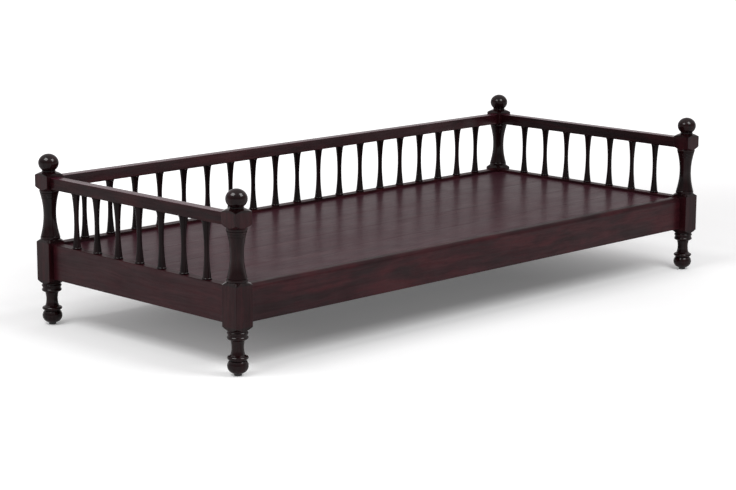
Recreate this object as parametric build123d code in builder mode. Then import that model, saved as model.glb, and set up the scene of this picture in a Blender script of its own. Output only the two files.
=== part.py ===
from build123d import *
import math
import os

os.makedirs("parts", exist_ok=True)

# A takht: a low wooden daybed with four turned posts, a boarded deck inside deep aprons, and a
# spindle gallery round the back and both ends.  Millimetres, +Z up, +X along the bed, the open
# front faces -Y.  The origin is on the floor under the middle of the deck.

# ------------------------------------------------------------------ plan
post_spacing_x = 2073.0        # post centre to post centre, along the bed
post_spacing_y = 864.0         # post centre to post centre, front to back
seat_gap = 0.15                # clearance round tenons, dowels and screws
tip_gap = 1.0                  # space beyond the end of a tenon, dowel or screw

# ------------------------------------------------------------------ post, from the floor up
post_side = 61.5               # the square blocks, which are the full width of the timber
post_edge_radius = 1.2         # softened long edges of the blocks
glide_height = 7.0
glide_diameter = 22.5
glide_pin_diameter = 5.0
glide_pin_length = 16.0

foot_height = 34.8             # bun foot
foot_swell_height = 20.8       # from its base to its widest place
foot_diameter = 61.0
foot_base_diameter = 30.0
foot_top_diameter = 52.4
foot_groove_height = 5.0
foot_groove_diameter = 48.0

low_ring_height = 10.1         # thin ring over the foot
ring_diameter = 61.0           # every turned ring and collar
ring_root_diameter = 51.0
neck_height = 48.75            # cove between the rings
neck_diameter = 35.1
neck_end_diameter = 41.0
neck_lip_height = 4.0

double_ring_height = 8.5       # each of the two rings under the lower block
double_ring_root_diameter = 56.0
double_ring_groove_height = 5.1

shoulder_slope = 35.0          # degrees from level, where a block runs into the turned parts
lower_shoulder_gap = 3.25
lower_shoulder_diameter = 59.6
block_shoulder_diameter = 60.4
lower_block_height = 119.5
upper_block_height = 34.9

collar_height = 9.0            # beads at both ends of the shaft
collar_root_diameter = 58.8
collar_groove_height = 1.6
collar_groove_depth = 1.4
shaft_length = 133.0           # hourglass between the collars
shaft_end_diameter = 58.5
shaft_waist_diameter = 39.2
scribe_first = 6.3             # cut lines round the shaft, down from its top
scribe_pitch = 8.4
scribe_count = 2
scribe_radius = 0.8

dome_height = 10.2
dome_top_diameter = 43.0
dome_bulge = 0.7

# ------------------------------------------------------------------ finial
finial_neck_height = 5.1
finial_neck_diameter = 40.6
finial_fillet_height = 1.4     # small ring in the middle of the neck
finial_fillet_diameter = 42.4
finial_cove_depth = 0.7
finial_ball_diameter = 62.6
finial_ball_base_diameter = 40.7
finial_ball_under = 21.5       # from the neck up to the widest place
finial_ball_over = 28.3        # from the widest place to the crown
dowel_diameter = 16.0
dowel_length = 17.0

# ------------------------------------------------------------------ aprons
apron_height = 108.9
apron_thickness = 32.5
apron_top_below_block = 4.8    # from the lower block's upper corners down to the apron's top
apron_reach = 13.0             # face of the end and back aprons, outside the post centre line
front_apron_reach = 5.0        # the front apron lies further in
front_nosing_radius = 14.0     # rounded upper edge of the front apron
apron_edge_radius = 1.5
apron_tenon_thickness = 10.0
apron_tenon_inset = 3.0        # tenon centre, inside the post centre line
apron_tenon_shoulder = 16.0    # above and below the tenon
tenon_apart = 1.5              # left between two tenons that meet in a post

# ------------------------------------------------------------------ gallery
rail_height = 35.8
rail_width = 34.0
rail_top_below_block = 5.1     # from the upper block's upper corners down to the rail's top
rail_edge_radius = 2.0
rail_tenon_thickness = 12.0
rail_tenon_shoulder = 6.5

back_spindles = 19
end_spindles = 7
spindle_inset = 2.0            # spindle line, inside the post centre line
spindle_waist_diameter = 14.7
spindle_end_diameter = 25.2
spindle_bead_diameter = 28.5
spindle_bead_height = 5.3
spindle_tenon_diameter = 12.0
spindle_tenon_length = 15.0

# ------------------------------------------------------------------ deck and what carries it
deck_thickness = 20.0
deck_recess = 8.0              # below the tops of the aprons
deck_side_gap = 0.5
deck_end_gap = 1.5
deck_boards = 4
deck_board_width = 190.0       # the last board, at the back, is cut to what is left
deck_board_bevel = 0.8         # eased upper edges
tongue_thickness = 6.0
tongue_depth = 6.0
tongue_gap = 0.3

bearers = 3
bearer_width = 45.0
bearer_height = 40.0           # the end ledgers are as deep
bearer_housing = 10.0          # let into the long aprons
ledger_thickness = 25.0
ledger_clear_of_post = 20.0

brace_leg = 110.0
brace_end = 22.0
brace_height = 30.0
brace_gap = 0.5                # clear of the post's corner
brace_screw_from_end = 16.0
pocket_diameter = 13.0
pocket_length = 30.0

screw_diameter = 4.5
screw_length = 50.0
screw_head_diameter = 9.0
screw_point = 6.0
countersink_angle = 82.0
ledger_screws = 4
ledger_screw_margin = 60.0     # end of the ledger to its first screw

# ------------------------------------------------------------------ worked out from the above
half_x = post_spacing_x / 2
half_y = post_spacing_y / 2
post_half = post_side / 2
block_corner = post_half * math.sqrt(2)


def shoulder_rise(diameter):
    """Height over which a turned shoulder comes out to the corners of the block."""
    return (block_corner - diameter / 2) * math.tan(math.radians(shoulder_slope))


z_foot = glide_height
z_foot_swell = z_foot + foot_swell_height
z_foot_top = z_foot + foot_height
z_low_ring = z_foot_top + foot_groove_height
z_neck = z_low_ring + low_ring_height
z_neck_top = z_neck + neck_height
z_ring_groove = z_neck_top + double_ring_height
z_high_ring = z_ring_groove + double_ring_groove_height
z_high_ring_top = z_high_ring + double_ring_height
z_shoulder = z_high_ring_top + lower_shoulder_gap
z_block = z_shoulder + shoulder_rise(lower_shoulder_diameter)
z_block_top = z_block + lower_block_height
z_collar = z_block_top + shoulder_rise(block_shoulder_diameter)
z_shaft = z_collar + collar_height + collar_groove_height
z_shaft_top = z_shaft + shaft_length
z_high_collar = z_shaft_top + collar_groove_height
z_high_collar_top = z_high_collar + collar_height
z_upper_block = z_high_collar_top + shoulder_rise(block_shoulder_diameter)
z_upper_block_top = z_upper_block + upper_block_height
z_post_top = z_upper_block_top + dome_height

apron_top = z_block_top - apron_top_below_block
apron_middle = apron_top - apron_height / 2
rail_top = z_upper_block_top - rail_top_below_block
rail_bottom = rail_top - rail_height
rail_middle = rail_top - rail_height / 2
deck_top = apron_top - deck_recess
deck_bottom = deck_top - deck_thickness
bearer_bottom = deck_bottom - bearer_height
bearer_middle = deck_bottom - bearer_height / 2
brace_bottom = bearer_bottom - brace_height
brace_middle = bearer_bottom - brace_height / 2

span_x = post_spacing_x - post_side
span_y = post_spacing_y - post_side
back_pitch = span_x / (back_spindles + 1)
end_pitch = span_y / (end_spindles + 1)

# how far inside the post centre lines the aprons' inner faces lie, and where that puts them
apron_inner = apron_thickness - apron_reach
front_apron_inner = apron_thickness - front_apron_reach
inner_x = half_x - apron_inner
inner_back = half_y - apron_inner
inner_front = -(half_y - front_apron_inner)
reach_y = {"front": front_apron_reach, "back": apron_reach}
inner_y = {"front": inner_front, "back": inner_back}

apron_tenon_height = apron_height - 2 * apron_tenon_shoulder
apron_tenon_length = post_half - apron_tenon_inset - apron_tenon_thickness / 2 - tenon_apart
rail_tenon_height = rail_height - 2 * rail_tenon_shoulder
rail_tenon_length = post_half - rail_tenon_thickness / 2 - tenon_apart
apron_tenon_line = {"x": half_x - apron_tenon_inset, "y": half_y - apron_tenon_inset}
spindle_line = {"x": half_x - spindle_inset, "y": half_y - spindle_inset}

side_x = {"left": -1, "right": 1}
side_y = {"front": -1, "back": 1}
corners = [(a, b) for a in side_y for b in side_x]

# ------------------------------------------------------------------ where the screws go
# Each place is a plane on the screw's seat whose Z axis points out of the wood.
bearer_xs = [span_x / (bearers + 1) * (i + 1) - span_x / 2 for i in range(bearers)]
ledger_x = inner_x - ledger_thickness / 2
ledger_length = span_y - 2 * ledger_clear_of_post

board_fronts = [inner_front + deck_side_gap + i * deck_board_width for i in range(deck_boards)]
board_backs = board_fronts[1:] + [inner_back - deck_side_gap]
board_middles = [(a + b) / 2 for a, b in zip(board_fronts, board_backs)]

deck_screw_places = [
    Plane(origin=(x, y, bearer_bottom), z_dir=(0, 0, -1))
    for x in [-ledger_x, *bearer_xs, ledger_x]
    for y in board_middles
]

ledger_screw_pitch = (ledger_length - 2 * ledger_screw_margin) / (ledger_screws - 1)
ledger_screw_ys = [
    (i - (ledger_screws - 1) / 2) * ledger_screw_pitch for i in range(ledger_screws)
]
ledger_screw_places = {
    side: [
        Plane(origin=(sx * (inner_x - ledger_thickness), y, bearer_middle), z_dir=(-sx, 0, 0))
        for y in ledger_screw_ys
    ]
    for side, sx in side_x.items()
}

brace_screw_along = brace_leg - brace_screw_from_end
brace_end_screw_places = {
    (end, side): Plane(
        origin=(
            side_x[side] * (inner_x - ledger_thickness),
            inner_y[end] - side_y[end] * brace_screw_along,
            brace_middle,
        ),
        z_dir=(-side_x[side], 0, 0),
    )
    for end, side in corners
}
brace_long_screw_places = {
    (end, side): Plane(
        origin=(
            side_x[side] * (inner_x - brace_screw_along),
            inner_y[end] - side_y[end] * ledger_thickness,
            brace_middle,
        ),
        z_dir=(0, -side_y[end], 0),
    )
    for end, side in corners
}
screw_places = [
    *deck_screw_places,
    *ledger_screw_places["left"],
    *ledger_screw_places["right"],
    *brace_end_screw_places.values(),
    *brace_long_screw_places.values(),
]
screw_hole_radius = screw_diameter / 2 + seat_gap
screw_hole_depth = screw_length + tip_gap
screw_head_depth = (screw_head_diameter - screw_diameter) / 2 / math.tan(
    math.radians(countersink_angle / 2)
)


def arc_radius_at(height, end_radius, waist_radius, length):
    """Radius of an hourglass, a circular arc, at a height from its waist."""
    sagitta = end_radius - waist_radius
    bend = ((length / 2) ** 2 + sagitta**2) / (2 * sagitta)
    return waist_radius + bend - math.sqrt(bend**2 - height**2)


def ring(root_radius, outer_radius, bottom, height):
    """Half-round edge of a turned ring, in the (radius, height) plane."""
    middle = bottom + height / 2
    ThreePointArc((root_radius, bottom), (outer_radius, middle), (root_radius, bottom + height))


def post_outline():
    """The turned profile of a post; where it passes the square's corners the post stays square."""
    foot_base = foot_base_diameter / 2
    foot_wide = foot_diameter / 2
    foot_top = foot_top_diameter / 2
    foot_groove = foot_groove_diameter / 2
    ring_root = ring_root_diameter / 2
    ring_out = ring_diameter / 2
    neck_end = neck_end_diameter / 2
    double_root = double_ring_root_diameter / 2
    collar_root = collar_root_diameter / 2
    shaft_end = shaft_end_diameter / 2
    shoulder = block_shoulder_diameter / 2
    groove_in = collar_root - collar_groove_depth
    z_collar_top = z_collar + collar_height
    z_neck_low = z_neck + neck_lip_height
    z_neck_high = z_neck_top - neck_lip_height

    Polyline((0, z_post_top), (0, z_foot), (foot_base, z_foot))
    TangentArc((foot_wide, z_foot_swell), (foot_base, z_foot), tangent=(0, -1))
    TangentArc((foot_wide, z_foot_swell), (foot_top, z_foot_top), tangent=(0, 1))
    Polyline((foot_top, z_foot_top), (foot_groove, z_foot_top + (foot_top - foot_groove)),
             (foot_groove, z_low_ring), (ring_root, z_low_ring))
    ring(ring_root, ring_out, z_low_ring, low_ring_height)
    Line((ring_root, z_neck), (neck_end, z_neck_low))
    ThreePointArc((neck_end, z_neck_low), (neck_diameter / 2, (z_neck + z_neck_top) / 2),
                  (neck_end, z_neck_high))
    Line((neck_end, z_neck_high), (double_root, z_neck_top))
    ring(double_root, ring_out, z_neck_top, double_ring_height)
    Line((double_root, z_ring_groove), (double_root, z_high_ring))
    ring(double_root, ring_out, z_high_ring, double_ring_height)
    Polyline((double_root, z_high_ring_top), (double_root, z_shoulder),
             (lower_shoulder_diameter / 2, z_shoulder), (block_corner, z_block),
             (block_corner, z_block_top), (shoulder, z_collar), (collar_root, z_collar))
    ring(collar_root, ring_out, z_collar, collar_height)
    Polyline((collar_root, z_collar_top), (groove_in, z_collar_top + collar_groove_height / 2),
             (shaft_end, z_shaft))
    ThreePointArc((shaft_end, z_shaft), (shaft_waist_diameter / 2, (z_shaft + z_shaft_top) / 2),
                  (shaft_end, z_shaft_top))
    Polyline((shaft_end, z_shaft_top), (groove_in, z_high_collar - collar_groove_height / 2),
             (collar_root, z_high_collar))
    ring(collar_root, ring_out, z_high_collar, collar_height)
    Polyline((collar_root, z_high_collar_top), (shoulder, z_high_collar_top),
             (block_corner, z_upper_block), (block_corner, z_upper_block_top))
    dome_in = dome_top_diameter / 2
    dome_middle = ((block_corner + dome_in) / 2, (z_upper_block_top + z_post_top) / 2 + dome_bulge)
    ThreePointArc((block_corner, z_upper_block_top), dome_middle, (dome_in, z_post_top))
    Line((dome_in, z_post_top), (0, z_post_top))


# ------------------------------------------------------------------ posts
for end, side in corners:
    sx = side_x[side]
    sy = side_y[end]
    x = sx * half_x
    y = sy * half_y
    mortise = apron_tenon_length + tip_gap
    rail_mortise = rail_tenon_length + tip_gap
    with BuildPart() as post:
        with BuildSketch(Plane(origin=(x, y, 0), x_dir=(1, 0, 0), z_dir=(0, -1, 0))):
            with BuildLine():
                post_outline()
            make_face()
        revolve(axis=Axis((x, y, 0), (0, 0, 1)))
        with BuildSketch(Plane((x, y, 0))):
            RectangleRounded(post_side, post_side, post_edge_radius)
        extrude(amount=z_post_top, mode=Mode.INTERSECT)
        with BuildSketch(Plane(origin=(x, y, 0), x_dir=(1, 0, 0), z_dir=(0, -1, 0))):
            for i in range(scribe_count):
                below_top = scribe_first + i * scribe_pitch
                scribe_at = arc_radius_at(
                    shaft_length / 2 - below_top,
                    shaft_end_diameter / 2,
                    shaft_waist_diameter / 2,
                    shaft_length,
                )
                with Locations((scribe_at, z_shaft_top - below_top)):
                    Circle(scribe_radius)
        revolve(axis=Axis((x, y, 0), (0, 0, 1)), mode=Mode.SUBTRACT)
        # mortises for the long apron and the end apron
        with Locations((x - sx * (post_half - mortise / 2), sy * apron_tenon_line["y"], apron_middle)):
            Box(mortise, apron_tenon_thickness + 2 * seat_gap,
                apron_tenon_height + 2 * seat_gap, mode=Mode.SUBTRACT)
        with Locations((sx * apron_tenon_line["x"], y - sy * (post_half - mortise / 2), apron_middle)):
            Box(apron_tenon_thickness + 2 * seat_gap, mortise,
                apron_tenon_height + 2 * seat_gap, mode=Mode.SUBTRACT)
        # mortises for the gallery rails: one along each end, and one along the back
        with Locations((x, y - sy * (post_half - rail_mortise / 2), rail_middle)):
            Box(rail_tenon_thickness + 2 * seat_gap, rail_mortise,
                rail_tenon_height + 2 * seat_gap, mode=Mode.SUBTRACT)
        if end == "back":
            with Locations((x - sx * (post_half - rail_mortise / 2), y, rail_middle)):
                Box(rail_mortise, rail_tenon_thickness + 2 * seat_gap,
                    rail_tenon_height + 2 * seat_gap, mode=Mode.SUBTRACT)
        # dowel hole for the finial and pin hole for the glide
        with Locations((x, y, z_post_top)):
            Hole(dowel_diameter / 2 + seat_gap, dowel_length + tip_gap)
        with Locations(Plane(origin=(x, y, z_foot), z_dir=(0, 0, -1))):
            Hole(glide_pin_diameter / 2 + seat_gap, glide_pin_length + tip_gap)
    post.part.label = f"{end}_{side}_post"
    export_step(post.part, f"parts/{end}_{side}_post.step")

# ------------------------------------------------------------------ finials
z_neck_ring = z_post_top + (finial_neck_height - finial_fillet_height) / 2
z_ball = z_post_top + finial_neck_height
z_ball_middle = z_ball + finial_ball_under
z_crown = z_ball_middle + finial_ball_over
quarter_ellipse = 4 * (math.sqrt(2) - 1) / 3    # handle length of a curve close to a quarter ellipse

for end, side in corners:
    x = side_x[side] * half_x
    y = side_y[end] * half_y
    neck = finial_neck_diameter / 2
    fillet_out = finial_fillet_diameter / 2
    z_fillet_top = z_neck_ring + finial_fillet_height
    ball_base = finial_ball_base_diameter / 2
    ball_wide = finial_ball_diameter / 2
    with BuildPart() as finial:
        with BuildSketch(Plane(origin=(x, y, 0), x_dir=(1, 0, 0), z_dir=(0, -1, 0))):
            with BuildLine():
                Polyline((0, z_crown), (0, z_post_top - dowel_length),
                         (dowel_diameter / 2, z_post_top - dowel_length),
                         (dowel_diameter / 2, z_post_top), (neck, z_post_top))
                ThreePointArc((neck, z_post_top),
                              (neck - finial_cove_depth, (z_post_top + z_neck_ring) / 2),
                              (neck, z_neck_ring))
                Polyline((neck, z_neck_ring), (fillet_out, z_neck_ring),
                         (fillet_out, z_fillet_top), (neck, z_fillet_top))
                ThreePointArc((neck, z_fillet_top),
                              (neck - finial_cove_depth, (z_fillet_top + z_ball) / 2),
                              (ball_base, z_ball))
                TangentArc((ball_wide, z_ball_middle), (ball_base, z_ball), tangent=(0, -1))
                Bezier((ball_wide, z_ball_middle),
                       (ball_wide, z_ball_middle + quarter_ellipse * finial_ball_over),
                       (quarter_ellipse * ball_wide, z_crown), (0, z_crown))
            make_face()
        revolve(axis=Axis((x, y, 0), (0, 0, 1)))
    finial.part.label = f"{end}_{side}_finial"
    export_step(finial.part, f"parts/{end}_{side}_finial.step")

# ------------------------------------------------------------------ long aprons
for end, sy in side_y.items():
    face = sy * (half_y + reach_y[end])
    middle = face - sy * apron_thickness / 2
    with BuildPart() as apron:
        with BuildSketch(Plane.YZ):
            with Locations((middle, apron_middle)):
                Rectangle(apron_thickness, apron_height)
        extrude(amount=span_x / 2, both=True)
        long_edges = apron.edges().filter_by(Axis.X)
        top_edges = long_edges.group_by(Axis.Z)[-1].sort_by(Axis.Y)
        nosing = top_edges[0] if end == "front" else top_edges[-1]
        fillet(nosing, front_nosing_radius if end == "front" else apron_edge_radius)
        low_outer = apron.edges().filter_by(Axis.X).group_by(Axis.Z)[0].sort_by(Axis.Y)
        fillet(low_outer, apron_edge_radius)
        with Locations((0, sy * apron_tenon_line["y"], apron_middle)):
            Box(span_x + 2 * apron_tenon_length, apron_tenon_thickness, apron_tenon_height)
        # housings for the cross bearers, open to the inner face
        with Locations(*[(x, middle - sy * apron_thickness / 2, bearer_middle) for x in bearer_xs]):
            Box(bearer_width + 2 * seat_gap, 2 * bearer_housing,
                bearer_height + 2 * seat_gap, mode=Mode.SUBTRACT)
        if end == "back":
            with Locations((0, spindle_line["y"], apron_top)):
                with GridLocations(back_pitch, back_pitch, back_spindles, 1):
                    Hole(spindle_tenon_diameter / 2 + seat_gap, spindle_tenon_length + tip_gap)
        with Locations(*[brace_long_screw_places[(end, side)] for side in side_x]):
            Hole(screw_hole_radius, screw_hole_depth)
    apron.part.label = f"{end}_apron"
    export_step(apron.part, f"parts/{end}_apron.step")

# ------------------------------------------------------------------ end aprons
for side, sx in side_x.items():
    middle = sx * (half_x + apron_reach - apron_thickness / 2)
    with BuildPart() as apron:
        with BuildSketch(Plane.XZ):
            with Locations((middle, apron_middle)):
                Rectangle(apron_thickness, apron_height)
        extrude(amount=span_y / 2, both=True)
        fillet(apron.edges().filter_by(Axis.Y), apron_edge_radius)
        with Locations((sx * apron_tenon_line["x"], 0, apron_middle)):
            Box(apron_tenon_thickness, span_y + 2 * apron_tenon_length, apron_tenon_height)
        with Locations((sx * spindle_line["x"], 0, apron_top)):
            with GridLocations(end_pitch, end_pitch, 1, end_spindles):
                Hole(spindle_tenon_diameter / 2 + seat_gap, spindle_tenon_length + tip_gap)
        with Locations(*ledger_screw_places[side],
                       *[brace_end_screw_places[(end, side)] for end in side_y]):
            Hole(screw_hole_radius, screw_hole_depth)
    apron.part.label = f"{side}_apron"
    export_step(apron.part, f"parts/{side}_apron.step")

# ------------------------------------------------------------------ gallery rails
spindle_hole = spindle_tenon_diameter / 2 + seat_gap
spindle_hole_depth = spindle_tenon_length + tip_gap

with BuildPart() as back_rail:
    with BuildSketch(Plane.YZ):
        with Locations((half_y, rail_middle)):
            RectangleRounded(rail_width, rail_height, rail_edge_radius)
    extrude(amount=span_x / 2, both=True)
    with Locations((0, half_y, rail_middle)):
        Box(span_x + 2 * rail_tenon_length, rail_tenon_thickness, rail_tenon_height)
    with Locations(Plane(origin=(0, spindle_line["y"], rail_bottom), z_dir=(0, 0, -1))):
        with GridLocations(back_pitch, back_pitch, back_spindles, 1):
            Hole(spindle_hole, spindle_hole_depth)
back_rail.part.label = "back_rail"
export_step(back_rail.part, "parts/back_rail.step")

for side, sx in side_x.items():
    with BuildPart() as rail:
        with BuildSketch(Plane.XZ):
            with Locations((sx * half_x, rail_middle)):
                RectangleRounded(rail_width, rail_height, rail_edge_radius)
        extrude(amount=span_y / 2, both=True)
        with Locations((sx * half_x, 0, rail_middle)):
            Box(rail_tenon_thickness, span_y + 2 * rail_tenon_length, rail_tenon_height)
        with Locations(Plane(origin=(sx * spindle_line["x"], 0, rail_bottom), z_dir=(0, 0, -1))):
            with GridLocations(end_pitch, end_pitch, 1, end_spindles):
                Hole(spindle_hole, spindle_hole_depth)
    rail.part.label = f"{side}_rail"
    export_step(rail.part, f"parts/{side}_rail.step")

# ------------------------------------------------------------------ spindles
spindle_places = {}
for i in range(back_spindles):
    along = (i - (back_spindles - 1) / 2) * back_pitch
    spindle_places[f"back_spindle_{i + 1:02d}"] = (along, spindle_line["y"])
for side, sx in side_x.items():
    for i in range(end_spindles):
        along = (i - (end_spindles - 1) / 2) * end_pitch
        spindle_places[f"{side}_spindle_{i + 1}"] = (sx * spindle_line["x"], along)

z_low_bead_top = apron_top + spindle_bead_height
z_high_bead = rail_bottom - spindle_bead_height

for name, (x, y) in spindle_places.items():
    tenon = spindle_tenon_diameter / 2
    end_radius = spindle_end_diameter / 2
    bead = spindle_bead_diameter / 2
    with BuildPart() as spindle:
        with BuildSketch(Plane(origin=(x, y, 0), x_dir=(1, 0, 0), z_dir=(0, -1, 0))):
            with BuildLine():
                Polyline((end_radius, rail_bottom), (tenon, rail_bottom),
                         (tenon, rail_bottom + spindle_tenon_length),
                         (0, rail_bottom + spindle_tenon_length),
                         (0, apron_top - spindle_tenon_length),
                         (tenon, apron_top - spindle_tenon_length),
                         (tenon, apron_top), (end_radius, apron_top))
                ring(end_radius, bead, apron_top, spindle_bead_height)
                ThreePointArc((end_radius, z_low_bead_top),
                              (spindle_waist_diameter / 2, (z_low_bead_top + z_high_bead) / 2),
                              (end_radius, z_high_bead))
                ring(end_radius, bead, z_high_bead, spindle_bead_height)
            make_face()
        revolve(axis=Axis((x, y, 0), (0, 0, 1)))
    spindle.part.label = name
    export_step(spindle.part, f"parts/{name}.step")

# ------------------------------------------------------------------ deck boards
board_half_length = inner_x - deck_end_gap
tongue_middle = deck_bottom + deck_thickness / 2

for i, (low, high) in enumerate(zip(board_fronts, board_backs)):
    with BuildPart() as board:
        with BuildSketch(Plane.YZ):
            with Locations(((low + high) / 2, tongue_middle)):
                Rectangle(high - low, deck_thickness)
        extrude(amount=board_half_length, both=True)
        chamfer(board.edges().filter_by(Axis.X).group_by(Axis.Z)[-1], deck_board_bevel)
        # a tongue on the front edge fits a groove in the back edge of the board before it
        if i > 0:
            with Locations((0, low - (tongue_depth - tongue_gap) / 2, tongue_middle)):
                Box(2 * board_half_length, tongue_depth - tongue_gap,
                    tongue_thickness - 2 * tongue_gap)
        if i < deck_boards - 1:
            with Locations((0, high - tongue_depth / 2, tongue_middle)):
                Box(2 * board_half_length, tongue_depth, tongue_thickness, mode=Mode.SUBTRACT)
        # the outer boards are notched round the posts
        notch = post_side + 2 * deck_side_gap
        with Locations(*[(side_x[b] * half_x, side_y[a] * half_y, tongue_middle) for a, b in corners]):
            Box(notch, notch, 2 * deck_thickness, mode=Mode.SUBTRACT)
        with Locations(*deck_screw_places):
            Hole(screw_hole_radius, screw_hole_depth)
    board.part.label = f"deck_board_{i + 1}"
    export_step(board.part, f"parts/deck_board_{i + 1}.step")

# ------------------------------------------------------------------ bearers and ledgers
bearer_front = inner_front - (bearer_housing - seat_gap)
bearer_back = inner_back + (bearer_housing - seat_gap)

for i, x in enumerate(bearer_xs):
    with BuildPart() as bearer:
        with Locations((x, (bearer_front + bearer_back) / 2, bearer_middle)):
            Box(bearer_width, bearer_back - bearer_front, bearer_height)
        with Locations(*[place for place in deck_screw_places if place.origin.X == x]):
            CounterSinkHole(screw_hole_radius, screw_head_diameter / 2 + seat_gap,
                            bearer_height + tip_gap, countersink_angle)
    bearer.part.label = f"bearer_{i + 1}"
    export_step(bearer.part, f"parts/bearer_{i + 1}.step")

for side, sx in side_x.items():
    with BuildPart() as ledger:
        with Locations((sx * ledger_x, 0, bearer_middle)):
            Box(ledger_thickness, ledger_length, bearer_height)
        with Locations(*[place for place in deck_screw_places if place.origin.X == sx * ledger_x]):
            CounterSinkHole(screw_hole_radius, screw_head_diameter / 2 + seat_gap,
                            bearer_height + tip_gap, countersink_angle)
        with Locations(*ledger_screw_places[side]):
            CounterSinkHole(screw_hole_radius, screw_head_diameter / 2 + seat_gap,
                            ledger_thickness + tip_gap, countersink_angle)
    ledger.part.label = f"{side}_ledger"
    export_step(ledger.part, f"parts/{side}_ledger.step")

# ------------------------------------------------------------------ corner braces
with BuildPart() as braces:
    for end, side in corners:
        sx = side_x[side]
        sy = side_y[end]
        x = sx * inner_x
        y = inner_y[end]
        with BuildSketch(Plane.XY.offset(brace_bottom)):
            with BuildLine():
                Polyline((x, y), (x - sx * brace_leg, y), (x - sx * brace_leg, y - sy * brace_end),
                         (x - sx * brace_end, y - sy * brace_leg), (x, y - sy * brace_leg),
                         close=True)
            make_face()
            with Locations((sx * half_x, sy * half_y)):
                Rectangle(post_side + 2 * brace_gap, post_side + 2 * brace_gap, mode=Mode.SUBTRACT)
        extrude(amount=brace_height)
    for place in [*brace_end_screw_places.values(), *brace_long_screw_places.values()]:
        with Locations(place):
            CounterSinkHole(screw_hole_radius, screw_head_diameter / 2 + seat_gap,
                            ledger_thickness + tip_gap, countersink_angle)
            Cylinder(pocket_diameter / 2, pocket_length,
                     align=(Align.CENTER, Align.CENTER, Align.MIN), mode=Mode.SUBTRACT)
braces.part.label = "corner_braces"
export_step(braces.part, "parts/corner_braces.step")

# ------------------------------------------------------------------ screws
with BuildPart() as screws:
    for place in screw_places:
        with BuildSketch(Plane(origin=place.origin, x_dir=place.x_dir, z_dir=place.y_dir)):
            with BuildLine():
                # drawn with the screw's axis along the sketch's Y
                Polyline((0, 0), (screw_head_diameter / 2, 0), (screw_diameter / 2, screw_head_depth),
                         (screw_diameter / 2, screw_length - screw_point), (0, screw_length),
                         close=True)
            make_face()
        revolve(axis=Axis(place.origin, place.z_dir))
screws.part.label = "screws"
export_step(screws.part, "parts/screws.step")

# ------------------------------------------------------------------ glides
with BuildPart() as glides:
    with Locations(*[(side_x[b] * half_x, side_y[a] * half_y, 0) for a, b in corners]):
        Cylinder(glide_diameter / 2, glide_height, align=(Align.CENTER, Align.CENTER, Align.MIN))
        Cylinder(glide_pin_diameter / 2, glide_height + glide_pin_length,
                 align=(Align.CENTER, Align.CENTER, Align.MIN))
glides.part.label = "foot_glides"
export_step(glides.part, "parts/foot_glides.step")
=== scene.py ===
import math

import bpy
from mathutils import Matrix, Vector


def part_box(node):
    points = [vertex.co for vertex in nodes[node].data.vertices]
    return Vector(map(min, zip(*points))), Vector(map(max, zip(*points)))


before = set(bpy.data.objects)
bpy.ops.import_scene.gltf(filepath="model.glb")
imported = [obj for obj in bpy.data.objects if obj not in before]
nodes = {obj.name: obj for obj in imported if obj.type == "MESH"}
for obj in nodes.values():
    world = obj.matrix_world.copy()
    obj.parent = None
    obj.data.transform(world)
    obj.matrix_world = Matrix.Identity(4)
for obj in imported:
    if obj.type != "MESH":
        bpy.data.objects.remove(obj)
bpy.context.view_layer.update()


# ------------------------------------------------------------------ camera, floor and light
image_width = 736
focal_px = 2088.07
sensor_width = 36.0
camera_place = (-4.80506, -4.70460, 1.51661)
camera_yaw = math.radians(45.0786)      # turned from +Y towards +X
camera_pitch = math.radians(11.3551)    # looking down
camera_roll = math.radians(0.2154)
camera_reach = 200.0

bed_middle = (0.0, 0.0, 0.2)            # where the lamps point
softboxes = {                           # place, size and power
    "front_softbox": ((0.3, -2.6, 3.1), (1.7, 2.0), 71.0),
    "left_softbox": ((-3.0, 0.1, 3.5), (2.3, 1.8), 76.0),
}

sky_low = (1.0, 1.0, 1.0, 1.0)          # at the horizon
sky_high = (0.465, 0.44, 0.445, 1.0)    # overhead
sky_from, sky_to = 0.03, 0.17           # sines of the angles between which one turns into the other

floor_size = 80.0
floor_white = (0.85, 0.86, 0.86, 1.0)
middle_glow = 0.118         # a little light of the floor's own under the middle of the bed: painted light that lightens its shadow
end_glow = 0.24             # more under its ends, which lightens the shadow there more
ends_from, ends_to = 0.45, 1.2
far_glow = 0.75             # and more far away, where the lamps don't reach
far_from, far_to = 1.1, 2.9
glow_stretch, glow_shift = (0.6, 1.0, 0.0), (0.0, 0.35, 0.0)
glow_coolness = 0.006       # makes up for the red light that the wood throws on the floor


def add_camera():
    """Stand in front of the bed's left end and look down at it a little."""
    data = bpy.data.cameras.new("camera")
    data.sensor_width = sensor_width
    data.lens = focal_px * sensor_width / image_width
    data.clip_end = camera_reach
    camera = bpy.data.objects.new("camera", data)
    bpy.context.scene.collection.objects.link(camera)
    turn = Matrix.Rotation(-camera_yaw, 4, "Z") @ Matrix.Rotation(math.pi / 2 - camera_pitch, 4, "X")
    turn = turn @ Matrix.Rotation(camera_roll, 4, "Z")
    camera.matrix_world = Matrix.Translation(camera_place) @ turn
    bpy.context.scene.camera = camera


def add_softbox(name, place, size, power):
    """Hang a rectangular lamp that faces the bed."""
    data = bpy.data.lights.new(name, "AREA")
    data.shape = "RECTANGLE"
    data.size, data.size_y = size
    data.energy = power
    lamp = bpy.data.objects.new(name, data)
    bpy.context.scene.collection.objects.link(lamp)
    lamp.location = place
    lamp.rotation_euler = (Vector(bed_middle) - Vector(place)).to_track_quat("-Z", "Y").to_euler()
    lamp.visible_camera = False


# ------------------------------------------------------------------ short ways to write a node tree
def fill(tree, node, inputs):
    """Set a node's inputs, each to a number, a colour or another node's output."""
    for name, value in inputs.items():
        if isinstance(value, bpy.types.NodeSocket):
            tree.links.new(value, node.inputs[name])
        else:
            node.inputs[name].default_value = value


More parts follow.
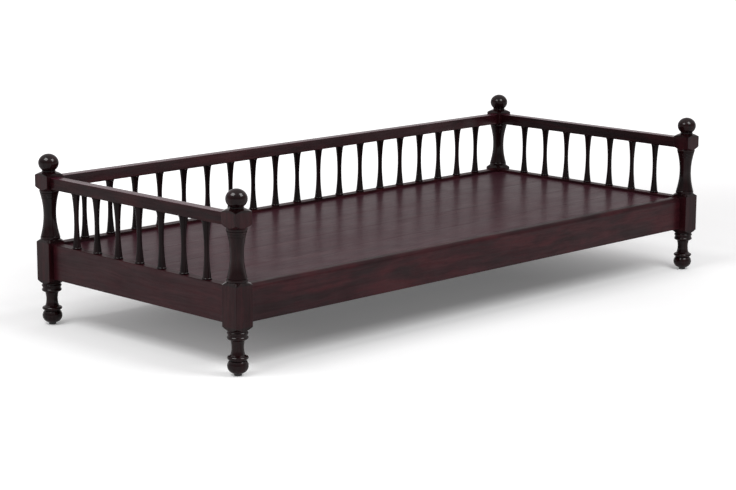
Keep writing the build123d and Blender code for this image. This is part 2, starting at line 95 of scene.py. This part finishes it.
def put(tree, kind, inputs, **settings):
    """Add one node with its settings and inputs."""
    node = tree.nodes.new("ShaderNode" + kind)
    for name, value in settings.items():
        setattr(node, name, value)
    fill(tree, node, inputs)
    return node


def calc(tree, operation, first, second=0.0, clamp=False):
    return put(tree, "Math", {0: first, 1: second}, operation=operation, use_clamp=clamp).outputs[0]


def vector_calc(tree, operation, first, second):
    return put(tree, "VectorMath", {0: first, 1: second}, operation=operation).outputs[0]


def height_of(tree, vector):
    return put(tree, "SeparateXYZ", {0: vector}).outputs["Z"]


def between(tree, value, low, high, to_low=0.0, to_high=1.0):
    """Map a value's range smoothly onto another, held at both ends."""
    limits = {"Value": value, "From Min": low, "From Max": high, "To Min": to_low, "To Max": to_high}
    return put(tree, "MapRange", limits, interpolation_type="SMOOTHSTEP").outputs["Result"]


def blend(tree, factor, first, second):
    """Mix two colours, which are a Mix node's inputs 6 and 7."""
    return put(tree, "Mix", {0: factor, 6: first, 7: second}, data_type="RGBA").outputs[2]


def noise(tree, place, scale, detail=2.0, roughness=0.5, distortion=0.0):
    inputs = {
        "Vector": place, "Scale": scale, "Detail": detail,
        "Roughness": roughness, "Distortion": distortion,
    }
    return put(tree, "TexNoise", inputs).outputs["Fac"]


def stretched_noise(tree, place, scales, detail, roughness, distortion=0.0):
    """Noise with its own scale on each axis."""
    place = vector_calc(tree, "MULTIPLY", place, scales)
    return noise(tree, place, 1.0, detail, roughness, distortion)


def ramp(tree, factor, stops):
    """Turn a value into a colour; stops are pairs of a position and a colour."""
    node = put(tree, "ValToRGB", {"Fac": factor})
    points = node.color_ramp.elements
    while len(points) < len(stops):
        points.new(0.5)
    for point, (position, colour) in zip(points, stops):
        point.position = position
        point.color = (*colour, 1.0)
    return node.outputs["Color"]


def new_material(name):
    """Start a material; give back itself, its tree, its shader's inputs and the place on the bed."""
    material = bpy.data.materials.new(name)
    material.use_nodes = True
    tree = material.node_tree
    here = put(tree, "TexCoord", {}).outputs["Object"]
    return material, tree, tree.nodes["Principled BSDF"].inputs, here


def new_group(name, inputs, outputs):
    """Start a node group with named sockets; give back its tree, inputs and outputs."""
    tree = bpy.data.node_groups.new(name, "ShaderNodeTree")
    for label, kind, value in inputs:
        socket = tree.interface.new_socket(label, in_out="INPUT", socket_type="NodeSocket" + kind)
        if value is not None:
            socket.default_value = value
    for label in outputs:
        tree.interface.new_socket(label, in_out="OUTPUT", socket_type="NodeSocketFloat")
    return tree, tree.nodes.new("NodeGroupInput").outputs, tree.nodes.new("NodeGroupOutput").inputs


def place_group(tree, group, inputs):
    """Use a node group in a material; give back its outputs."""
    node = tree.nodes.new("ShaderNodeGroup")
    node.node_tree = group
    fill(tree, node, inputs)
    return node.outputs


# ------------------------------------------------------------------ studio
def add_sky():
    """A pale studio: white at the horizon, grey overhead."""
    world = bpy.data.worlds.new("studio")
    world.use_nodes = True
    tree = world.node_tree
    height = height_of(tree, put(tree, "TexCoord", {}).outputs["Generated"])
    colour = blend(tree, between(tree, height, sky_from, sky_to), sky_low, sky_high)
    background = tree.nodes["Background"]
    tree.links.new(colour, background.inputs["Color"])
    background.inputs["Strength"].default_value = 1.0
    bpy.context.scene.world = world


def add_floor():
    """A white floor that keeps the shadow and glows: painted light that lightens the shadow under the bed,
    more under its ends, and more far from the bed.
    """
    mesh = bpy.data.meshes.new("floor")
    half = floor_size / 2
    corners = [(-half, -half, 0.0), (half, -half, 0.0), (half, half, 0.0), (-half, half, 0.0)]
    mesh.from_pydata(corners, [], [(0, 1, 2, 3)])
    floor = bpy.data.objects.new("floor", mesh)
    bpy.context.scene.collection.objects.link(floor)

    material, tree, shader, here = new_material("floor_white")
    shader["Base Color"].default_value = floor_white
    shader["Roughness"].default_value = 1.0
    shader["Specular IOR Level"].default_value = 0.0
    from_bed = {0: here, 1: glow_stretch, 2: glow_shift}
    from_bed = put(tree, "VectorMath", from_bed, operation="MULTIPLY_ADD").outputs[0]
    away = put(tree, "VectorMath", {0: from_bed}, operation="LENGTH").outputs["Value"]
    along = calc(tree, "ABSOLUTE", put(tree, "SeparateXYZ", {0: here}).outputs["X"])
    near_glow = between(tree, along, ends_from, ends_to, middle_glow, end_glow)
    far_share = between(tree, away, far_from, far_to)
    glow = put(tree, "Mix", {0: far_share, 2: near_glow, 3: far_glow}, data_type="FLOAT").outputs[0]
    less_red = calc(tree, "SUBTRACT", glow, glow_coolness)
    colour = put(tree, "CombineColor", {0: less_red, 1: glow, 2: glow}).outputs[0]
    tree.links.new(colour, shader["Emission Color"])
    shader["Emission Strength"].default_value = 1.0
    mesh.materials.append(material)


add_camera()
add_sky()
add_floor()
for name, (place, size, power) in softboxes.items():
    add_softbox(name, place, size, power)


# ------------------------------------------------------------------ shared surface effects
# noises: how often each repeats in a metre, along the grain and then twice across it, or the same
# all ways, and then its detail and roughness, and for the clouds a distortion
streak_noise = (2.5, 95.0, 95.0), 4.0, 0.62
fibre_noise = (14.0, 620.0, 620.0), 3.0, 0.6
cloud_noise = (4.0, 13.0, 13.0), 3.0, 0.55, 0.6
pore_noise = (55.0, 900.0, 900.0), 1.0, 0.5
stroke_noise = (7.0, 170.0, 170.0), 3.0, 0.6    # strokes of the polishing cloth
rub_noise = 9.0, 3.0, 0.6                       # patches that hands have rubbed
chip_noise = 38.0, 4.0, 0.65                    # breaks in the painted shade along an edge

wander_scales = (2.2, 6.0, 6.0)
wander_reach = (0.0, 0.05, 0.05)        # how far the line of the grain strays, in metres
pith_place = (0.0, 0.11, 0.16)          # the tree's middle, beside the piece
pith_tilt = (0.0, math.radians(2.0), math.radians(-1.5))
ring_stretch = (0.25, 1.0, 1.0)         # draws the growth rings out into flames
rings = {
    "Scale": 8.0, "Distortion": 9.0, "Detail": 4.0, "Detail Scale": 2.2, "Detail Roughness": 0.65,
}

noise_gain = 2.0            # a noise strays less from its middle than the rings do
fibre_gain = 0.25
pore_from, pore_to = 0.60, 0.72
fibre_height, streak_height, pore_depth = 0.5, 0.8, 0.5
rub_share, stroke_share = 0.35, 0.65

edge_from, edge_to = 0.995, 0.80        # cosines between the rounded and the true normal
chip_from, chip_to, least_edge_shade = 0.35, 0.65, 0.25
open_face, deep_groove = 0.85, 0.35     # how much of the sky a point sees


def swing(tree, pattern, amount):
    """Centre a pattern on zero and scale it."""
    return calc(tree, "MULTIPLY", calc(tree, "SUBTRACT", pattern, 0.5), amount)


def make_grain():
    """Grain that runs along X: growth-ring flames, long streaks, clouds and fine pores."""
    tree, given, result = new_group(
        "wood_grain",
        [
            ("Place", "Vector", None),
            ("Flames", "Float", 0.5),
            ("Streaks", "Float", 0.5),
            ("Clouds", "Float", 0.5),
        ],
        ["Tone", "Pores", "Height", "Polish"],
    )
    place = given["Place"]

    # the line of the grain wanders a little
    slow_place = vector_calc(tree, "MULTIPLY", place, wander_scales)
    slow = put(tree, "TexNoise", {"Vector": slow_place, "Scale": 1.0, "Detail": 2.0}).outputs["Color"]
    wander = vector_calc(tree, "SUBTRACT", slow, (0.5, 0.5, 0.5))
    bent = vector_calc(tree, "ADD", place, vector_calc(tree, "MULTIPLY", wander, wander_reach))

    # growth rings round a pith that lies askew, seen as long flames
    askew = {"Vector": bent, "Location": pith_place, "Rotation": pith_tilt}
    askew = put(tree, "Mapping", askew).outputs[0]
    flames = put(
        tree, "TexWave", {"Vector": vector_calc(tree, "MULTIPLY", askew, ring_stretch), **rings},
        wave_type="RINGS", rings_direction="X",
    ).outputs["Fac"]
    streaks = stretched_noise(tree, bent, *streak_noise)
    clouds = stretched_noise(tree, place, *cloud_noise)
    fibres = stretched_noise(tree, bent, *fibre_noise)

    tone = swing(tree, flames, given["Flames"])
    for pattern, amount in ((streaks, given["Streaks"]), (clouds, given["Clouds"])):
        tone = calc(tree, "ADD", tone, calc(tree, "MULTIPLY", swing(tree, pattern, amount), noise_gain))
    tone = calc(tree, "ADD", tone, swing(tree, fibres, fibre_gain))
    tree.links.new(calc(tree, "ADD", tone, 0.5, clamp=True), result["Tone"])

    # open pores, short dark dashes
    dashes = stretched_noise(tree, bent, *pore_noise)
    pores = between(tree, dashes, pore_from, pore_to)
    tree.links.new(pores, result["Pores"])

    height = calc(tree, "MULTIPLY", fibres, fibre_height)
    height = calc(tree, "ADD", height, calc(tree, "MULTIPLY", streaks, streak_height))
    height = calc(tree, "SUBTRACT", height, calc(tree, "MULTIPLY", pores, pore_depth))
    tree.links.new(height, result["Height"])

    rubbed = calc(tree, "MULTIPLY", noise(tree, place, *rub_noise), rub_share)
    strokes = calc(tree, "MULTIPLY", stretched_noise(tree, bent, *stroke_noise), stroke_share)
    tree.links.new(calc(tree, "ADD", rubbed, strokes), result["Polish"])
    return tree


def make_edge_shade():
    """A mask of the sharp outer edges, broken up by noise, where shade is painted into the stain and the
    coat is thinned.
    """
    tree, given, result = new_group(
        "edge_shade",
        [("Width", "Float", 0.0015), ("Place", "Vector", None)],
        ["Wear"],
    )
    rounded = put(tree, "Bevel", {"Radius": given["Width"]}, samples=6).outputs["Normal"]
    true_normal = put(tree, "NewGeometry", {}).outputs["Normal"]
    facing = put(tree, "VectorMath", {0: rounded, 1: true_normal}, operation="DOT_PRODUCT").outputs["Value"]
    edge = between(tree, facing, edge_from, edge_to)
    chips = noise(tree, given["Place"], *chip_noise)
    broken = between(tree, chips, chip_from, chip_to, least_edge_shade, 1.0)
    tree.links.new(calc(tree, "MULTIPLY", edge, broken), result["Wear"])
    return tree


def make_recess():
    """A mask of grooves and inside corners, from ambient occlusion, where shade is painted into the stain.
    """
    tree, given, result = new_group("recess", [("Reach", "Float", 0.008)], ["Recess"])
    shade = put(tree, "AmbientOcclusion", {"Distance": given["Reach"]}, samples=8, only_local=True)
    tree.links.new(between(tree, shade.outputs["AO"], open_face, deep_groove), result["Recess"])
    return tree


block_shoulder = 0.005      # a block stands this far above the apron or rail that meets it


def make_square_block():
    """A mask of a post's two square blocks, which are planed and not turned."""
    tree, given, result = new_group("square_block", [("Place", "Vector", None)], ["Block"])
    height = height_of(tree, given["Place"])
    masks = []
    for name in ("left_apron", "left_rail"):
        low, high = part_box(name)
        above = calc(tree, "GREATER_THAN", height, low[2] - block_shoulder)
        below = calc(tree, "LESS_THAN", height, high[2] + block_shoulder)
        masks.append(calc(tree, "MULTIPLY", above, below))
    tree.links.new(calc(tree, "MAXIMUM", *masks), result["Block"])
    return tree


square_block = make_square_block()
wood_grain = make_grain()
edge_shade = make_edge_shade()
recess = make_recess()


# ------------------------------------------------------------------ stained and lacquered wood
grain_turns = {             # from the piece's own axis onto the grain's X
    "x": (0.0, 0.0, 0.0),
    "y": (0.0, 0.0, -math.pi / 2),
    "z": (0.0, math.pi / 2, 0.0),
}
tone_stops = (0.12, 0.5, 0.88)
top_from, top_to = 0.4, 0.8             # how far up a face looks before it counts as a top
top_edge_shade = 0.1                          # how much of the painted edge shade is left on a top

# how strongly pores, and the painted shade of sharp edges and grooves, show in the stain, and how dark
# beside its darkest tone
pore_stain, edge_shade_strength, groove_shade_strength = 0.55, 0.7, 0.7
pore_dark, edge_shade_dark, groove_shade_dark = 0.4, 0.6, 0.5

wood_shine = 0.03                       # of the wood under the lacquer
polish_from, polish_to = 0.3, 0.7       # the range of the polish pattern
rough_low, rough_high = 0.36, 0.46
pore_roughness, groove_roughness = 0.08, 0.15

coat_from, coat_to = 0.15, 0.75         # how far up a face looks as the sides' coat turns into the tops': a painted sheen, brighter on tops
coat_high, coat_low = 1.25, 0.75        # where the wood is well and badly polished
# the coat is thinner in the grooves and along the sharp edges, which keeps their painted shade dark
groove_coat, shaded_edge_coat = 0.6, 0.4
block_coat = 0.21                       # on the sides of a post's square blocks
seam_highlight_coat = 1.16                        # more coat beside the joint behind the front board: a painted highlight along the seam
seam_highlight_reach = 0.014

grain_bump, grain_depth = 0.35, 0.00012


def tone_ramp(tree, tone, tones):
    return ramp(tree, tone, list(zip(tone_stops, tones)))


def scaled(colour, factor):
    return (*[factor * part for part in colour], 1.0)


def darkened(tree, colour, darkest, pores, edge_shade_mask, groove):
    """Darken the stain in its pores, and paint shade along its sharp edges and in its grooves."""
    for mask, strength, shade in (
        (pores, pore_stain, pore_dark),
        (edge_shade_mask, edge_shade_strength, edge_shade_dark),
        (groove, groove_shade_strength, groove_shade_dark),
    ):
        colour = blend(tree, calc(tree, "MULTIPLY", mask, strength), colour, scaled(darkest, shade))
    return colour


def dulled(tree, lacquer_and_sheen, polish, edge_shade_mask, groove):
    """Vary the lacquer with its polish, and dull it in the grooves and along the edges."""
    for factor in (
        between(tree, polish, polish_from, polish_to, coat_high, coat_low),
        between(tree, groove, 0.0, 1.0, 1.0, groove_coat),
        between(tree, edge_shade_mask, 0.0, 1.0, 1.0, shaded_edge_coat),
    ):
        lacquer_and_sheen = calc(tree, "MULTIPLY", lacquer_and_sheen, factor)
    return lacquer_and_sheen


def lacquered_wood(
    name, grain, log_place, tones, flames, streaks, clouds,
    coat=0.36, side_coat=0.225, coat_roughness=0.3, edge=0.005,
    top_sheen=None, block_lit_tones=None, seam=None,
):
    """Stained and lacquered wood, with more lacquer on tops than on sides: a painted sheen that makes
    the tops shine brighter and the sides duller.

    log_place picks the part of the log that the piece is cut from, and flames, streaks and clouds say
    how strongly each shows. The block tones are the tones of a post's square blocks, painted lighter
    and redder than the turned parts for the light that their flat faces catch. seam is the Y of a joint
    beside which the lacquer is raised, a painted highlight along it. A top colour, if given, paints the
    tops lighter and pinker, a painted sheen.
    """
    material, tree, shader, here = new_material(name)
    place = {"Vector": here, "Location": log_place, "Rotation": grain_turns[grain]}
    place = put(tree, "Mapping", place).outputs[0]
    figure = {"Place": place, "Flames": flames, "Streaks": streaks, "Clouds": clouds}
    figure = place_group(tree, wood_grain, figure)
    upward = height_of(tree, put(tree, "NewGeometry", {}).outputs["Normal"])
    # painted shade along the sharp edges, less of it on tops
    edge_shade_mask = place_group(tree, edge_shade, {"Place": here, "Width": edge})["Wear"]
    edge_shade_mask = calc(tree, "MULTIPLY", edge_shade_mask, between(tree, upward, top_from, top_to, 1.0, top_edge_shade))
    # painted shade in the grooves and inside corners, from ambient occlusion
    groove = place_group(tree, recess, {})["Recess"]

    colour = tone_ramp(tree, figure["Tone"], tones)
    # the square blocks get lighter, redder tones and less coat than the turned parts: painted light that
    # their flat faces catch
    if block_lit_tones:
        block = place_group(tree, square_block, {"Place": here})["Block"]
        colour = blend(tree, block, colour, tone_ramp(tree, figure["Tone"], block_lit_tones))
        side_coat = between(tree, block, 0.0, 1.0, side_coat, block_coat)
    # the tops take a lighter, pinker colour: a painted sheen
    if top_sheen:
        colour = blend(tree, between(tree, upward, top_from, top_to), colour, (*top_sheen, 1.0))
    colour = darkened(tree, colour, tones[0], figure["Pores"], edge_shade_mask, groove)
    tree.links.new(colour, shader["Base Color"])

    rough = between(tree, figure["Polish"], polish_from, polish_to, rough_low, rough_high)
    rough = calc(tree, "ADD", rough, calc(tree, "MULTIPLY", figure["Pores"], pore_roughness))
    rough = calc(tree, "ADD", rough, calc(tree, "MULTIPLY", groove, groove_roughness))
    tree.links.new(rough, shader["Roughness"])
    shader["Specular IOR Level"].default_value = wood_shine

    # more coat on tops than on sides: a painted sheen, brighter on the tops and duller on the sides
    lacquer_and_sheen = between(tree, upward, coat_from, coat_to, side_coat, coat)
    lacquer_and_sheen = dulled(tree, lacquer_and_sheen, figure["Polish"], edge_shade_mask, groove)
    # a painted highlight: more coat along the joint behind the front board
    if seam is not None:
        beside = put(tree, "SeparateXYZ", {0: here}).outputs["Y"]
        beside = calc(tree, "ABSOLUTE", calc(tree, "SUBTRACT", beside, seam))
        lacquer_and_sheen = calc(tree, "MULTIPLY", lacquer_and_sheen, between(tree, beside, 0.0, seam_highlight_reach, seam_highlight_coat, 1.0))
    tree.links.new(lacquer_and_sheen, shader["Coat Weight"])
    shader["Coat Roughness"].default_value = coat_roughness

    bump = put(tree, "Bump", {"Height": figure["Height"], "Strength": grain_bump, "Distance": grain_depth})
    tree.links.new(bump.outputs["Normal"], shader["Normal"])
    return material


def give(material, *names):
    """Dress every slot of the named nodes in one material."""
    for name in names:
        for slot in nodes[name].material_slots:
            slot.material = material


# the stain's dark, middle and light tones
apron_tones = (0.012, 0.0028, 0.0040), (0.021, 0.0038, 0.0058), (0.036, 0.0060, 0.0085)
deck_tones = (0.029, 0.0078, 0.0125), (0.038, 0.0100, 0.0160), (0.051, 0.014, 0.020)
turned_tones = (0.003, 0.0008, 0.0010), (0.007, 0.0013, 0.0017), (0.013, 0.0026, 0.0032)
# the square blocks' tones, lighter and redder than the turned parts': painted light on their flat faces
block_lit_tones = (0.009, 0.0020, 0.0028), (0.016, 0.0029, 0.0041), (0.026, 0.0046, 0.0062)
rail_tones = (0.006, 0.0016, 0.0024), (0.012, 0.0024, 0.0034), (0.024, 0.0042, 0.0056)
spindle_tones = (0.003, 0.0014, 0.0017), (0.006, 0.0024, 0.0028), (0.012, 0.0044, 0.0052)
inner_tones = (0.05, 0.022, 0.012), (0.09, 0.042, 0.022), (0.14, 0.07, 0.038)
# the rails' tops, lighter and pinker than their sides: a painted sheen
rail_top_sheen = (0.055, 0.010, 0.020)

for name, grain, log_place, flames, streaks, clouds in (
    ("front_apron", "x", (0.80, 0.0, 0.0), 0.3, 0.25, 1.0),
    ("back_apron", "x", (1.7, 0.3, 0.1), 0.6, 0.4, 0.5),
    ("left_apron", "y", (0.6, 0.5, 0.2), 0.2, 0.3, 0.35),
    ("right_apron", "y", (2.6, 0.8, 0.4), 0.3, 0.4, 0.4),
):
    give(lacquered_wood(name + "_wood", grain, log_place, apron_tones, flames, streaks, clouds), name)

for name, grain, log_place, tones, side_coat in (
    # the back rail takes the aprons' lighter tones and more coat on its sides than the end rails: painted
    # light on its inner face
    ("back_rail", "x", (0.3, 1.1, 0.2), apron_tones, 0.31),
    ("left_rail", "y", (0.1, 1.3, 0.6), rail_tones, 0.14),
    ("right_rail", "y", (1.9, 1.6, 0.3), rail_tones, 0.14),
):
    rail_wood = lacquered_wood(
        name + "_wood", grain, log_place, tones, flames=0.3, streaks=0.4, clouds=0.6,
        coat=0.84, side_coat=side_coat, coat_roughness=0.2, edge=0.007, top_sheen=rail_top_sheen,
    )
    give(rail_wood, name)

log_step = (0.43, 0.31, 0.17)           # each deck board comes from another part of the log
front_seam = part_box("deck_board_1")[1][1]
for number in range(1, 5):
    deck_wood = lacquered_wood(
        "deck_board_%d_wood" % number, "x", [number * step for step in log_step], deck_tones,
        flames=0.25, streaks=0.6, clouds=0.3,
        coat=0.365, coat_roughness=0.25, seam=front_seam if number < 3 else None,
    )
    give(deck_wood, "deck_board_%d" % number)

turned_wood = lacquered_wood(
    "turned_wood", "z", (0.2, 0.4, 0.9), turned_tones, flames=0.3, streaks=0.5, clouds=0.4,
    coat=1.0, side_coat=0.25, coat_roughness=0.09, edge=0.0015, block_lit_tones=block_lit_tones,
)
corners = ("front_left", "front_right", "back_left", "back_right")
give(turned_wood, *[corner + "_post" for corner in corners], *[corner + "_finial" for corner in corners])

spindle_wood = lacquered_wood(
    "spindle_wood", "z", (1.2, 0.7, 0.1), spindle_tones, flames=0.3, streaks=0.5, clouds=0.4,
    coat=0.80, side_coat=0.13, coat_roughness=0.1, edge=0.0008,
)
give(spindle_wood, *[name for name in nodes if "spindle" in name])

# the wood under the deck is stained but has no lacquer
for name, grain, log_place, pieces in (
    ("inner_wood", "x", (3.2, 0.7, 0.1), ["corner_braces"]),
    (
        "inner_wood_across", "y", (2.2, 1.7, 0.1),
        ["bearer_1", "bearer_2", "bearer_3", "left_ledger", "right_ledger"],
    ),
):
    inner_wood = lacquered_wood(
        name, grain, log_place, inner_tones, flames=0.4, streaks=0.5, clouds=0.4, coat=0.0, side_coat=0.0,
    )
    give(inner_wood, *pieces)


# ------------------------------------------------------------------ screws and glides
spot_from, spot_to = 0.3, 0.7


def speckled(name, spots, stops, rough_range):
    """A hard surface with fine spots in its colour and its shine; give back it and its shader."""
    material, tree, shader, here = new_material(name)
    spots = noise(tree, here, *spots)
    tree.links.new(ramp(tree, spots, stops), shader["Base Color"])
    tree.links.new(between(tree, spots, spot_from, spot_to, *rough_range), shader["Roughness"])
    return material, shader


zinc_steel, zinc_shader = speckled(
    "zinc_steel", spots=(300.0, 3.0, 0.6),
    stops=[(0.3, (0.42, 0.41, 0.38)), (0.7, (0.62, 0.61, 0.57))], rough_range=(0.28, 0.45),
)
zinc_shader["Metallic"].default_value = 1.0
give(zinc_steel, "screws")

glide_plastic, _ = speckled(
    "glide_plastic", spots=(180.0, 4.0, 0.65),
    stops=[(0.35, (0.010, 0.010, 0.011)), (0.75, (0.030, 0.029, 0.029))], rough_range=(0.42, 0.62),
)
give(glide_plastic, "foot_glides")

bpy.context.scene.view_settings.view_transform = "Standard"
